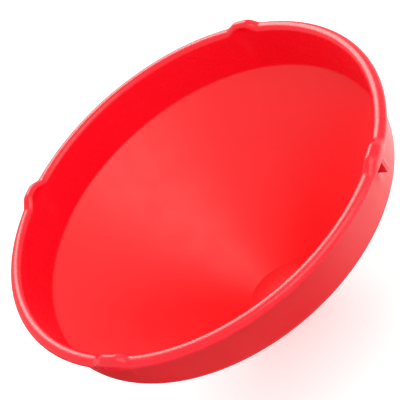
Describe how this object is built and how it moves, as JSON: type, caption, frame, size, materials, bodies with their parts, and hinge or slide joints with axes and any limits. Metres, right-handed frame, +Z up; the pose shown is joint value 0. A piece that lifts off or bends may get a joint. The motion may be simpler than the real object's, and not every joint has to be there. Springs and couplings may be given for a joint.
{
  "type": "ride-on spinning top",
  "caption": "Large conical ride-on spinning top for children: an open moulded bowl with a rolled rim and raised lugs, on a wear foot screwed to its tip.",
  "frame": {"origin": "on the top's own axis, at the flat underside of the foot, the lowest point", "axes": "+Z up along the axis of the top, +X through the middle of the lug with the block under its lip"},
  "size_m": [0.805, 0.805, 0.4515],
  "materials": {
    "bowl_plastic": "soft gloss, bright red",
    "foot_plastic": "matt, near black",
    "plated_steel": "zinc plated"
  },
  "bodies": {
    "root": {"bowl": "bowl_plastic", "pivot_foot": "foot_plastic", "clamp_disc": "plated_steel", "foot_screw_1": "plated_steel", "foot_screw_2": "plated_steel", "foot_screw_3": "plated_steel", "foot_screw_4": "plated_steel", "tip_cover": "bowl_plastic"}
  },
  "joints": []
}
